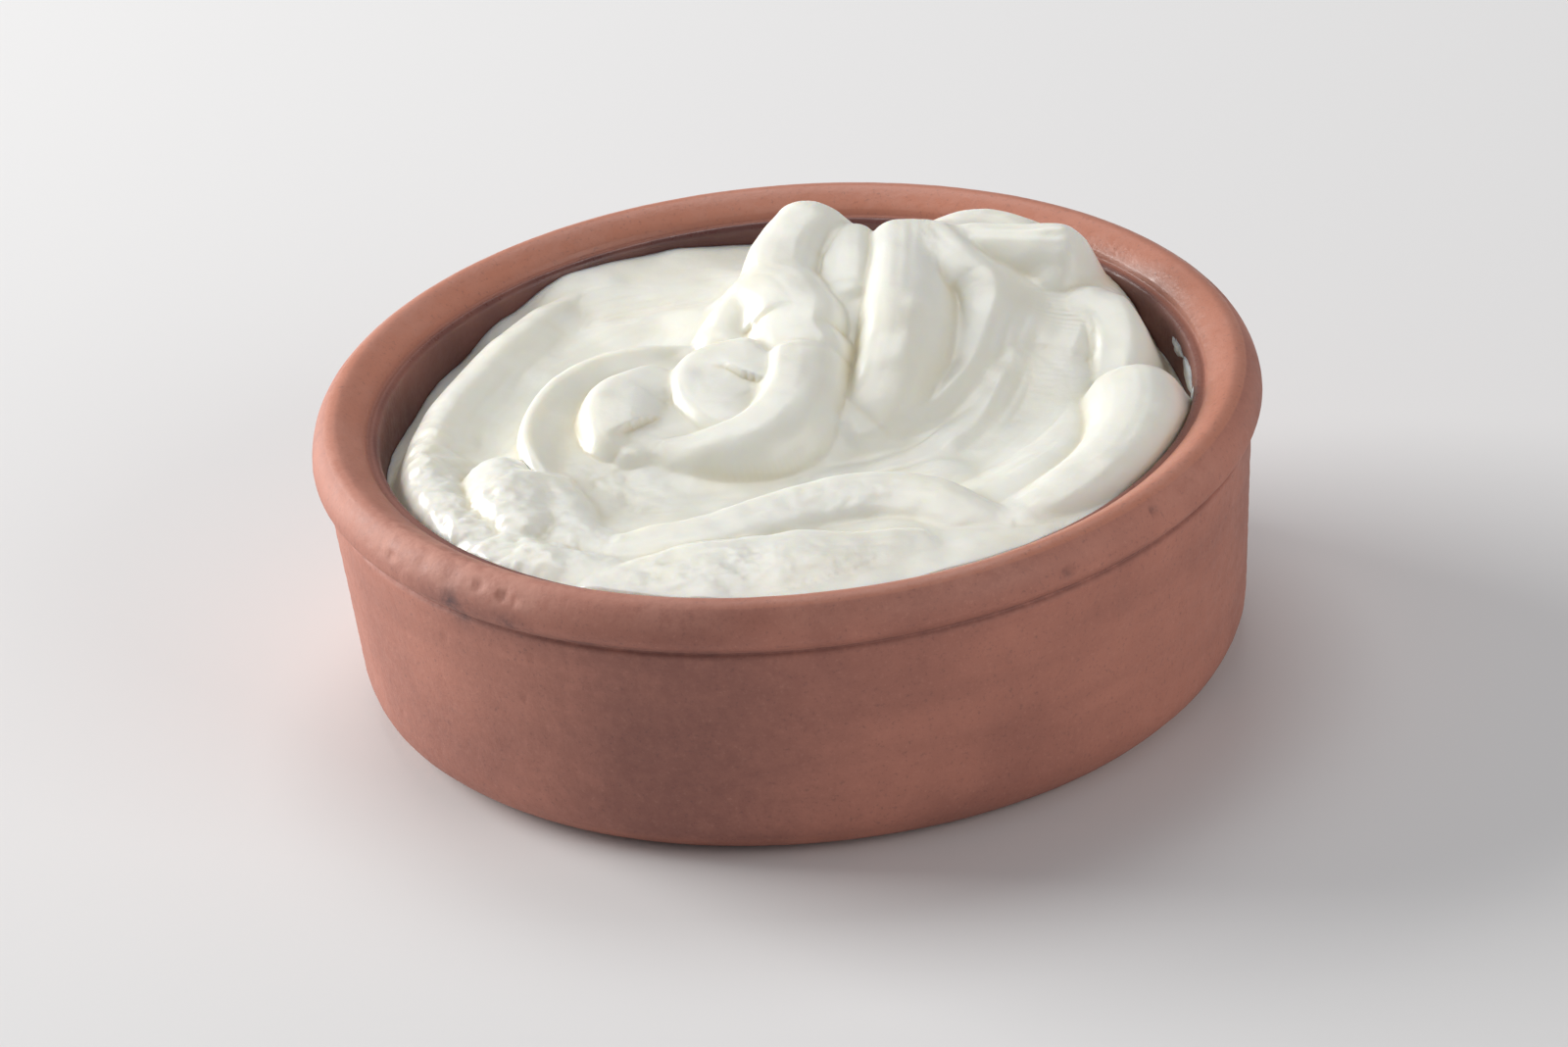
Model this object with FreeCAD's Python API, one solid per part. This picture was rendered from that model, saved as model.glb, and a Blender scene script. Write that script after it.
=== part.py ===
import FreeCAD, Part

import math
import os
from collections import namedtuple

# Bowl of strained yogurt: a turned clay bowl, spooned full and heaped above its rim.
# Millimetres. Origin at the centre of the flat foot, Z up, the heap towards +Y.

# Clay bowl
OUTER_RADIUS = 70.0
BOWL_HEIGHT = 44.3
FLOOR_THICKNESS = 5.5
RIM_WIDTH = 10.2
WALL_LEAN = 5.4
INNER_TAPER = 3.2
FOOT_ROUND = 8.5
INNER_ROUND = 9.0
COLLAR_DEPTH = 8.0
COLLAR_STEP = 1.75
LIP_HALF_WIDTH = 3.85
LIP_ROUND = 5.3
GROOVE_WIDTH = 0.8
GROOVE_DEPTH = 0.5
SLOPE_DROP = 2.3
SLOPE_BEND = 1.5
BEAD_DROP = 3.0
BEAD_WIDTH = 1.4
BEAD_HEIGHT = 1.5
BEAD_RISE = 0.1
SHOULDER_START = 1.6
LIP_POINTS = 9

# Nicks and pits in the lip, as (azimuth in degrees, drop below the rim, depth of bite, ball radius)
NICKS = [
    (218, 1.4, 0.5, 3.0),
    (223, 1.3, 0.7, 4.0),
    (227.5, 1.5, 0.6, 3.2),
    (231.5, 1.9, 0.8, 3.0),
    (303, 4.4, 0.5, 1.3),
    (318, 1.9, 0.4, 1.0),
]

# Yogurt
FILL_BELOW_RIM = 2.3
CENTRE_LEVEL = -1.0
WALL_BLEND_START = 0.62
HEAP_CEILING = 20.0
GRID_STEPS = 60
PATH_STEPS = 5
CREST_ROUND = 0.08
ROUND_LIMIT = 0.9
SIDE_SHARPNESS = 0.6
SURFACE_MARGIN = 3.0

# The surface is laid out for this inner radius and scales with it.
REFERENCE_RADIUS = 59.8

# Level where the yogurt meets the wall, as (azimuth in degrees, height over the fill level)
WALL_LEVELS = [
    (0, -7.0), (20, -7.0), (38, -6.5), (60, -3.0), (90, -3.5), (105, -2.5),
    (120, -1.5), (133, -4.0), (145, -7.0), (160, -8.5), (180, -7.0), (200, -4.5),
    (225, -2.0), (250, -1.0), (275, -1.0), (300, -1.2), (320, -1.5), (340, -4.0),
]

Mound = namedtuple("Mound", "x y across along rise")
MOUNDS = [
    Mound(12, 26, 22, 17, 7.5),
    Mound(-16, 0, 17, 14, 2.5),
]

# A stroke is the track of one spoonful. Its path holds (x, y, height over the fill level) and,
# where it narrows, its share of the full width. Left and right are the two flanks seen along
# the path, each (half width, drop). A HOLLOW flank sags inwards instead of bulging out.
HOLLOW = True
Stroke = namedtuple("Stroke", "kind path left right blend")


def ridge(path, left, right, blend=1.0):
    return Stroke("ridge", path, left, right, blend)


def trough(path, left, right, blend=2.0):
    return Stroke("trough", path, left, right, blend)


STROKES = [
    # back left: a broad hollow swipe, then the channel running out of it
    trough([(-43, 22, -1), (-35, 35, -2), (-24, 41, -2), (-12, 41, -1)], (13, 4), (13, 4)),
    trough([(-20, 26, -1), (-28, 20, -1.8), (-37, 11, -2.2), (-44, -2, -2.5)], (8, 3), (8, 3)),
    # left border ridge
    ridge([(-29, 46, -2.5, 0.6), (-34, 38, -0.2, 0.8), (-39, 28, 0.8), (-44.5, 18, 0.8),
           (-49, 9, 0.3), (-51.5, 0, 0), (-52.5, -8, -0.3), (-51.5, -18, -0.5)],
          (12, 3.5, HOLLOW), (5, 5)),
    # front basin swept from the back right to the left
    trough([(40, 28, 3), (38, 12, -1), (33, -4, -3.5), (24, -15, -4.5), (8, -22, -4.5),
            (-8, -23, -4), (-22, -24, -3)], (14, 4), (15, 5)),
    # soft waves left in the basin
    ridge([(34, 8, 0), (28, -6, -2), (19, -16, -3.2), (6, -20, -4)], (8, 2, HOLLOW), (4, 2), 2),
    ridge([(22, -22, -3), (12, -26, -2.5), (2, -27, -3)], (5, 2), (5, 2), 2),
    # back heap, from its right corner to its left
    ridge([(30, 34, 8.8), (36, 32, 9.2), (42.5, 30.5, 8.8)], (5, 7), (6, 5)),
    ridge([(42.8, 30, 8.2), (42.2, 25, 4.4)], (3.5, 6), (6, 4), 3),
    ridge([(25.5, 34, 9.6), (28, 29, 8.8), (31.5, 24, 7.3), (32, 19, 5.5), (30, 13, 3.7),
           (27, 5, 1.2), (20, -4, -1), (12, -11, -3)], (11, 4, HOLLOW), (7, 4)),
    ridge([(18.4, 34, 10.2), (17.7, 25, 9.4), (16.6, 15.5, 8), (14.8, 6.5, 5.4),
           (12.4, -0.5, 2.6), (9, -4, 0.3)], (7.5, 4), (4.2, 5), 1.6),
    ridge([(12.5, 36, 9.3), (12.3, 29, 8.6), (11.3, 23.5, 7)], (3, 2), (5.5, 3), 1.5),
    ridge([(4.5, 40.4, 11.6), (0.8, 34.4, 10.5), (-1, 28.4, 9), (-4.6, 25, 7), (-7, 22.5, 5)],
          (7, 3.5), (4.5, 5.5), 1.2),
    ridge([(1.7, 26.7, 8.8), (3.8, 22, 8.4), (5, 17.5, 7.8), (4.2, 12.5, 6.8), (5.4, 8.6, 6),
           (5.2, 6, 4.4)], (4.5, 3), (8, 4), 0.8),
    # rosette and the thin lip coiled round it
    ridge([(-12.5, 17.5, 1.2, 0.5), (-19.5, 15.8, 2.5), (-26.5, 13.4, 2.9), (-32, 8.2, 2.8),
           (-35.5, 1, 2.4), (-36.8, -6, 1.9), (-36, -12.5, 1), (-34, -16.5, -0.5, 0.7)],
          (8, 3, HOLLOW), (2.5, 4), 0.6),
    ridge([(-20, 8, 3.4), (-25, 4.5, 3.8), (-27, -2, 3.5), (-26.5, -8.5, 2.3), (-24, -11, 0.6)],
          (9, 2.5), (3.5, 3.5), 0.6),
    ridge([(-5.5, 10.5, 5.4), (-10.5, 9.8, 5), (-13.7, 6.5, 4.4), (-14, 1, 3.6),
           (-11.5, -5, 2.4), (-8.5, -8, 1.6)], (6, 2.5, HOLLOW), (3, 3.5), 0.5),
    ridge([(1, 5.5, 6.6), (0, -1, 5.2), (-3, -6.5, 3.8), (-8, -9.5, 2.4, 0.8),
           (-15, -10.3, 0.9, 0.6), (-21, -9.5, -0.5, 0.5)], (8.5, 5.5), (6, 3.5, HOLLOW), 0.5),
    # right border
    ridge([(47, 21, 3), (50, 17, 2.8), (51, 10, 1.5), (50, 3, -1)], (5, 8), (5, 4), 0.8),
    trough([(54, 25, -5), (58, 14, -8), (59, 5, -8), (59, -3, -6)], (3, 6), (4, 8)),
    ridge([(51.5, -7, 3.2), (51.5, -14, 3.2), (49.5, -22, 2.5), (45.5, -29, 2), (40, -35, 1.4),
           (33, -39.5, 0.8)], (7, 6.5), (8, 6), 0.8),
    # front ridges
    ridge([(-25, -36.5, -0.3, 0.7), (-13, -36, 0.8), (-4, -32.5, 1.3), (4, -30, 1.5),
           (12.5, -29.3, 1.5), (20.5, -32, 1.2), (27, -37.5, 0.6), (34, -40, 0.4)],
          (3.5, 5), (8.5, 3), 0.6),
    ridge([(-29, -49, -1), (-20, -46, 0.2), (-10, -45, 0.8), (0, -44.5, 0.9), (9, -44.6, 0.3, 0.7),
           (17, -44, -1, 0.4)], (3.5, 2.5), (14, 4), 1.2),
    # lumps at the left front
    ridge([(-42.5, -14.5, 1.4), (-41.5, -21.5, 2.3), (-39.5, -29, 1.2)], (6.5, 4.5), (6, 4.5), 0.8),
    ridge([(-53, -8, -0.3), (-52, -16, 0.2), (-49, -26, 0.2), (-45, -34, -0.3)], (4.5, 3), (4, 4)),
    ridge([(-33, -27, 0, 0.8), (-32, -33, 0), (-27, -37, -0.8, 0.8)], (5, 3), (6, 3)),
    ridge([(-42, -36, 0), (-36, -41, 0), (-29, -45, -0.8)], (5, 3), (6, 4)),
]


def point(radius, height):
    return FreeCAD.Vector(radius, 0, height)


def line(start, end):
    return Part.LineSegment(start, end).toShape()


def arc(start, middle, end):
    return Part.Arc(start, middle, end).toShape()


def spline(points):
    """Smooth curve through the points that ends running straight down."""
    curve = Part.BSplineCurve()
    run_in = points[1] - points[0]
    curve.interpolate(Points=points, InitialTangent=run_in, FinalTangent=point(0, -1))
    return curve.toShape()


def corner_arc(corner, round_radius, lean):
    """Round between a level line and a wall that leans out by the angle lean."""
    setback = round_radius / math.tan((math.pi / 2 + lean) / 2)
    centre_x = corner.x - setback
    centre_z = corner.z + round_radius
    middle_angle = -(math.pi / 2 + lean) / 2
    start = point(centre_x, corner.z)
    middle = point(centre_x + round_radius * math.cos(middle_angle),
                   centre_z + round_radius * math.sin(middle_angle))
    end = point(centre_x + round_radius * math.cos(lean),
                centre_z - round_radius * math.sin(lean))
    return start, middle, end


def lip_curve():
    """Bulging collar and rounded lip, from the scored line over the crest to the inner slope."""
    groove_top = BOWL_HEIGHT - COLLAR_DEPTH + GROOVE_WIDTH / 2
    widest_height = BOWL_HEIGHT - LIP_ROUND
    points = []
    for step in range(LIP_POINTS):
        share = step / LIP_POINTS
        radius = OUTER_RADIUS - COLLAR_STEP * (1 - math.sin(share * math.pi / 2))
        points.append(point(radius, groove_top + (widest_height - groove_top) * share))
    for step in range(LIP_POINTS + 1):
        angle = step / LIP_POINTS * math.pi / 2
        radius = OUTER_RADIUS - LIP_HALF_WIDTH * (1 - math.cos(angle))
        points.append(point(radius, widest_height + LIP_ROUND * math.sin(angle)))
    crest = points[-1]
    slope_run = RIM_WIDTH - LIP_HALF_WIDTH - BEAD_WIDTH * SHOULDER_START
    for step in (1, 2, 3):
        share = step / 3
        points.append(point(crest.x - slope_run * share,
                            crest.z - SLOPE_DROP * share ** SLOPE_BEND))
    return points


def inner_curve(start):
    """Shallow groove and bead where the lip turns down into the inner wall."""
    inner_radius = OUTER_RADIUS - RIM_WIDTH
    bead_top = BOWL_HEIGHT - BEAD_DROP
    return [
        start,
        point(inner_radius + BEAD_WIDTH * 1.3, bead_top - BEAD_RISE),
        point(inner_radius + BEAD_WIDTH * 0.8, bead_top + BEAD_RISE),
        point(inner_radius + BEAD_WIDTH * 0.2, bead_top - BEAD_RISE * 4),
        point(inner_radius, bead_top - BEAD_HEIGHT),
    ]


def revolved(edges):
    """Solid swept by a closed outline standing in the XZ plane."""
    face = Part.Face(Part.Wire(edges))
    solid = face.revolve(FreeCAD.Vector(0, 0, 0), FreeCAD.Vector(0, 0, 1), 360)
    return Part.Solid(solid.Shells[0]) if solid.ShapeType != "Solid" else solid


def inner_wall_edges(wall_top):
    """Inner wall, its round and the floor, from the bead down to the axis."""
    wall_foot = point(wall_top.x - INNER_TAPER, FLOOR_THICKNESS)
    lean = math.atan2(INNER_TAPER, wall_top.z - FLOOR_THICKNESS)
    start, middle, end = corner_arc(wall_foot, INNER_ROUND, lean)
    floor_centre = point(0, FLOOR_THICKNESS)
    return [line(wall_top, end), arc(end, middle, start), line(start, floor_centre)]


def wall_top_point():
    return point(OUTER_RADIUS - RIM_WIDTH, BOWL_HEIGHT - BEAD_DROP - BEAD_HEIGHT)


def make_bowl():
    groove_height = BOWL_HEIGHT - COLLAR_DEPTH
    foot_corner = point(OUTER_RADIUS - WALL_LEAN, 0)
    lean = math.atan2(WALL_LEAN - COLLAR_STEP, groove_height)
    start, middle, end = corner_arc(foot_corner, FOOT_ROUND, lean)
    half = GROOVE_WIDTH / 2
    groove_low = point(OUTER_RADIUS - COLLAR_STEP - half * math.tan(lean), groove_height - half)
    groove_deep = point(OUTER_RADIUS - COLLAR_STEP - GROOVE_DEPTH, groove_height)
    lip = lip_curve()
    shoulder = inner_curve(lip[-1])
    edges = [line(point(0, 0), start), arc(start, middle, end), line(end, groove_low),
             arc(groove_low, groove_deep, lip[0]), spline(lip + shoulder[1:])]
    edges += inner_wall_edges(wall_top_point())
    edges.append(line(point(0, FLOOR_THICKNESS), point(0, 0)))
    bowl = revolved(edges)
    for chip in chips():
        bowl = bowl.cut(chip)
    return bowl


def chips():
    """Shallow nicks along the front left of the lip and pits on its right."""
    cutters = []
    for azimuth, drop, bite, ball in NICKS:
        angle = math.radians(azimuth)
        rise = math.asin(max(0.0, 1 - drop / LIP_ROUND))
        surface = OUTER_RADIUS - LIP_HALF_WIDTH * (1 - math.cos(rise))
        lift = ball - bite
        reach = surface + lift * math.cos(rise)
        centre = FreeCAD.Vector(reach * math.cos(angle), reach * math.sin(angle),
                                BOWL_HEIGHT - drop + lift * math.sin(rise))
        cutters.append(Part.makeSphere(ball, centre))
    return cutters


def make_cavity():
    """Everything inside the wall, carried straight up above the heap."""
    wall_top = wall_top_point()
    sky = wall_top.z + HEAP_CEILING
    edges = inner_wall_edges(wall_top)
    edges.append(line(point(0, FLOOR_THICKNESS), point(0, sky)))
    edges.append(line(point(0, sky), point(wall_top.x, sky)))
    edges.append(line(point(wall_top.x, sky), wall_top))
    return revolved(edges)


def smooth_step(share):
    share = min(1.0, max(0.0, share))
    return share * share * (3 - 2 * share)


def full_point(place):
    """A path point with its share of the full width, which is 1 where it isn't given."""
    return tuple(place) if len(place) == 4 else tuple(place) + (1.0,)


def smooth_path(path):
    """Rounded track through the points of a stroke."""
    path = [full_point(place) for place in path]
    first = [2 * a - b for a, b in zip(path[0], path[1])]
    last = [2 * a - b for a, b in zip(path[-1], path[-2])]
    knots = [first] + path + [last]
    track = []
    for index in range(1, len(knots) - 2):
        before, start, end, after = knots[index - 1:index + 3]
        for step in range(PATH_STEPS):
            t = step / PATH_STEPS
            track.append([
                0.5 * (2 * b + (c - a) * t + (2 * a - 5 * b + 4 * c - d) * t * t
                       + (3 * b - a - 3 * c + d) * t ** 3)
                for a, b, c, d in zip(before, start, end, after)
            ])
    track.append(path[-1])
    return track


def nearest_on(track, x, y):
    """Distance to the track, its height there, the side the place lies on and the width share."""
    best = (1e9, 0.0, 0.0, 1.0)
    for (ax, ay, az, a_width), (bx, by, bz, b_width) in zip(track, track[1:]):
        run_x, run_y = bx - ax, by - ay
        length = math.hypot(run_x, run_y)
        share = ((x - ax) * run_x + (y - ay) * run_y) / (length * length)
        share = min(1.0, max(0.0, share))
        off_x, off_y = x - ax - share * run_x, y - ay - share * run_y
        away = math.hypot(off_x, off_y)
        if away < best[0]:
            across = (run_x * (y - ay) - run_y * (x - ax)) / length
            side = across / max(away, 1e-6)
            width = a_width + share * (b_width - a_width)
            best = (away, az + share * (bz - az), side, width)
    return best


def round_flank(share):
    """Quarter-round fall from a crest, carried on straight once it is steep."""
    near = min(share, ROUND_LIMIT)
    upright = math.sqrt(1 - near * near)
    return 1 - upright + (share - near) * near / upright


def hollow_flank(share):
    """Fall that is steep at the crest and levels out, then drops clear of its neighbour."""
    share = math.hypot(share, CREST_ROUND) - CREST_ROUND
    if share < 1:
        return 1 - (1 - share) ** 2
    return 1 + 2 * (share - 1) ** 2


def flank_fall(flank, away, width):
    """Drop below the crest at a distance out along one flank."""
    share = away / (flank[0] * width)
    fall = hollow_flank(share) if len(flank) == 3 else round_flank(share)
    return flank[1] * width * fall


def smooth_max(first, second, blend):
    overlap = max(blend - abs(first - second), 0.0) / blend
    return max(first, second) + overlap * overlap * blend / 4


def apply_stroke(height, stroke, track, x, y):
    away, crest, side, width = nearest_on(track, x, y)
    mix = min(1.0, max(0.0, 0.5 + SIDE_SHARPNESS * side))
    if stroke.kind == "ridge":
        right = flank_fall(stroke.right, away, width)
        left = flank_fall(stroke.left, away, width)
        return smooth_max(height, crest - right - (left - right) * mix, stroke.blend)
    half_width = stroke.right[0] + (stroke.left[0] - stroke.right[0]) * mix
    rise = stroke.right[1] + (stroke.left[1] - stroke.right[1]) * mix
    share = away / half_width
    return -smooth_max(-height, -crest - rise * share * share, stroke.blend)


def wall_level(azimuth):
    """Height of the yogurt against the wall all the way round."""
    levels = WALL_LEVELS + [(360, WALL_LEVELS[0][1])]
    for (low, low_level), (high, high_level) in zip(levels, levels[1:]):
        if azimuth <= high:
            share = smooth_step((azimuth - low) / (high - low))
            return low_level + (high_level - low_level) * share
    return levels[-1][1]


def surface_height(tracks, x, y):
    """Height of the yogurt over the fill level, at reference size."""
    reach = math.hypot(x, y) / REFERENCE_RADIUS
    azimuth = math.degrees(math.atan2(y, x)) % 360
    height = CENTRE_LEVEL
    for mound in MOUNDS:
        off = ((x - mound.x) / mound.across) ** 2 + ((y - mound.y) / mound.along) ** 2
        height += mound.rise * math.exp(-off)
    near_wall = smooth_step((reach - WALL_BLEND_START) / (1 - WALL_BLEND_START))
    height += (wall_level(azimuth) - height) * near_wall
    for stroke, track in tracks:
        height = apply_stroke(height, stroke, track, x, y)
    return height


def make_yogurt():
    """Fills the bowl face to face with its wall, under one swirled surface."""
    inner_radius = OUTER_RADIUS - RIM_WIDTH
    scale = inner_radius / REFERENCE_RADIUS
    fill_level = BOWL_HEIGHT - FILL_BELOW_RIM
    tracks = [(stroke, smooth_path(stroke.path)) for stroke in STROKES]
    margin = inner_radius + SURFACE_MARGIN
    rows = []
    for row in range(GRID_STEPS + 1):
        y = margin * (2 * row / GRID_STEPS - 1)
        points = []
        for column in range(GRID_STEPS + 1):
            x = margin * (2 * column / GRID_STEPS - 1)
            height = surface_height(tracks, x / scale, y / scale)
            points.append(FreeCAD.Vector(x, y, fill_level + height * scale))
        rows.append(points)
    surface = Part.BSplineSurface()
    surface.interpolate(rows)
    sheet = surface.toShape()
    below = sheet.extrude(FreeCAD.Vector(0, 0, -(BOWL_HEIGHT + HEAP_CEILING)))
    return make_cavity().common(below)


def main():
    os.makedirs("parts", exist_ok=True)
    make_bowl().exportStep("parts/bowl.step")
    yogurt = make_yogurt()
    solid = max(yogurt.Solids, key=lambda piece: piece.Volume)
    solid.exportStep("parts/yogurt.step")


main()
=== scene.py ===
import logging
import math
from dataclasses import dataclass, field
from enum import Enum
from typing import NamedTuple, Sequence

import bpy
import numpy as np
from mathutils import Matrix, Vector


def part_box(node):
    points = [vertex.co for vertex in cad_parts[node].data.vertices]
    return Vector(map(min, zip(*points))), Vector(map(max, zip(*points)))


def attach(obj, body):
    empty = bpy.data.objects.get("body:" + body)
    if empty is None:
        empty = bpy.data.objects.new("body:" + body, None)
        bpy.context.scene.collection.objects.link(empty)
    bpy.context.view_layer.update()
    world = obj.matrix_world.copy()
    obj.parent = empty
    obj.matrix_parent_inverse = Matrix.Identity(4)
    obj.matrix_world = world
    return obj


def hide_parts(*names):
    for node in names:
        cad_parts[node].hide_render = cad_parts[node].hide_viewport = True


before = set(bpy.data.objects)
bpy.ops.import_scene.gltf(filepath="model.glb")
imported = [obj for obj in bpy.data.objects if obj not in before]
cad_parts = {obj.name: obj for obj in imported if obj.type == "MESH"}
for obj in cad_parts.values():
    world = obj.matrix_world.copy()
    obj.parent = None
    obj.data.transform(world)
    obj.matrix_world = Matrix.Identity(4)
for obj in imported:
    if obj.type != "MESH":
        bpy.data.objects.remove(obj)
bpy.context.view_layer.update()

LOG = logging.getLogger("yogurt_bowl")
MM = 0.001
LATTICE = 32


class StrokeKind(Enum):
    """What a pass of the spoon leaves behind."""

    RIDGE = "ridge"
    TROUGH = "trough"


class FlankShape(Enum):
    """How one side of a fold falls away from its crest."""

    ROUND = "round"
    HOLLOW = "hollow"


HOLLOW = FlankShape.HOLLOW


def bell(away: np.ndarray, reach: float) -> np.ndarray:
    """Share that is 1 at a place and fades out over a reach."""
    return np.exp(-((away / reach) ** 2))


def smooth_step(share: np.ndarray) -> np.ndarray:
    """Eases a share from 0 to 1 with level ends.

    Args:
        share: values to ease; anything outside 0 to 1 is held at the end.

    Returns:
        The eased values.
    """
    share = np.clip(share, 0.0, 1.0)
    return share * share * (3.0 - 2.0 * share)


def smooth_max(first: np.ndarray, second: np.ndarray, blend: float) -> np.ndarray:
    """Takes the higher of two heights and rounds the crease between them.

    Args:
        first: one set of heights.
        second: the other set of heights.
        blend: how close the two must come before the crease is rounded.

    Returns:
        The joined heights.
    """
    overlap = np.maximum(blend - np.abs(first - second), 0.0) / blend
    return np.maximum(first, second) + overlap * overlap * blend / 4.0


def value_noise(points: np.ndarray, cell: float, seed: int) -> np.ndarray:
    """Smooth seeded noise at points in space.

    Args:
        points: rows of x, y, z.
        cell: spacing of the noise lattice, in the units of the points.
        seed: number that fixes the pattern.

    Returns:
        One value between -1 and 1 for each point.
    """
    lattice = np.random.RandomState(seed).rand(LATTICE, LATTICE, LATTICE) * 2.0 - 1.0
    place = points / cell
    low = np.floor(place).astype(int)
    share = smooth_step(place - low)
    total = np.zeros(len(points))
    for dx in (0, 1):
        for dy in (0, 1):
            for dz in (0, 1):
                weight = (
                    (share[:, 0] if dx else 1.0 - share[:, 0])
                    * (share[:, 1] if dy else 1.0 - share[:, 1])
                    * (share[:, 2] if dz else 1.0 - share[:, 2])
                )
                corner = (low + (dx, dy, dz)) % LATTICE
                total += weight * lattice[corner[:, 0], corner[:, 1], corner[:, 2]]
    return total


def layered_noise(
    points: np.ndarray, cell: float, seed: int, layers: int = 3, fade: float = 0.55
) -> np.ndarray:
    """Adds ever finer layers of smooth noise.

    Args:
        points: rows of x, y, z.
        cell: spacing of the coarsest layer.
        seed: number that fixes the pattern.
        layers: how many layers are added, each half as large as the last.
        fade: strength of each layer next to the one before.

    Returns:
        One value for each point, roughly between -1 and 1.
    """
    total = np.zeros(len(points))
    for layer in range(layers):
        total += value_noise(points, cell / 2**layer, seed + layer) * fade**layer
    return total


class Knot(NamedTuple):
    """One point of a stroke: place, height and share of the full width."""

    x: float
    y: float
    height: float
    width: float = 1.0


class Flank(NamedTuple):
    """One side of a stroke: its half width and how far it falls or rises there."""

    half_width: float
    change: float
    shape: FlankShape = FlankShape.ROUND


class NearestPlace(NamedTuple):
    """Closest place on a track, for each point of the plan."""

    away: np.ndarray
    crest: np.ndarray
    side: np.ndarray
    width: np.ndarray
    normal_x: np.ndarray
    normal_y: np.ndarray


@dataclass(frozen=True)
class Stroke:
    """One pass of the spoon: a track with two flanks."""

    kind: StrokeKind
    path: Sequence[Knot]
    left: Flank
    right: Flank
    blend: float
    lean: float = 0.0

    def track(self, steps: int = 10) -> np.ndarray:
        """Rounded track through the path's points.

        Args:
            steps: how many short runs stand between two points.

        Returns:
            Rows of x, y, height and share of the full width.
        """
        knots = np.array(self.path, float)
        knots = np.vstack([2 * knots[0] - knots[1], knots, 2 * knots[-1] - knots[-2]])
        rows = []
        for index in range(1, len(knots) - 2):
            before, start, end, after = knots[index - 1 : index + 3]
            for step in range(steps):
                t = step / steps
                point = 2 * start + (end - before) * t
                point = point + (2 * before - 5 * start + 4 * end - after) * t * t
                point = point + (3 * start - before - 3 * end + after) * t**3
                rows.append(0.5 * point)
        rows.append(knots[-2])
        return np.array(rows)


def ridge(
    path: Sequence[tuple], left: tuple, right: tuple, blend: float = 1.0, lean: float = 0.0
) -> Stroke:
    """Makes a fold that stands up.

    Args:
        path: knots along the crest, each x, y and height, with a width share where it isn't 1.
        left: half width and fall of the left flank, with its shape where it isn't round.
        right: the same for the right flank.
        blend: height over which it is rounded into what it crosses.
        lean: how far the crest hangs over to its right.

    Returns:
        The stroke.
    """
    knots = [Knot(*point) for point in path]
    return Stroke(StrokeKind.RIDGE, knots, Flank(*left), Flank(*right), blend, lean)


def trough(path: Sequence[tuple], left: tuple, right: tuple, blend: float = 2.0) -> Stroke:
    """Makes a hollow left by the spoon.

    Args:
        path: knots along the bottom, each x, y and height.
        left: half width and rise of the left flank.
        right: the same for the right flank.
        blend: height over which its edge is rounded.

    Returns:
        The stroke.
    """
    knots = [Knot(*point) for point in path]
    return Stroke(StrokeKind.TROUGH, knots, Flank(*left), Flank(*right), blend)


@dataclass(frozen=True)
class Mound:
    """A broad soft heap or patch, strongest in its middle."""

    x: float
    y: float
    across: float
    along: float
    rise: float

    def over(self, x: np.ndarray, y: np.ndarray) -> np.ndarray:
        """Rise of the mound at places in the plan."""
        return self.rise * np.exp(-(((x - self.x) / self.across) ** 2) - ((y - self.y) / self.along) ** 2)


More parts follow.
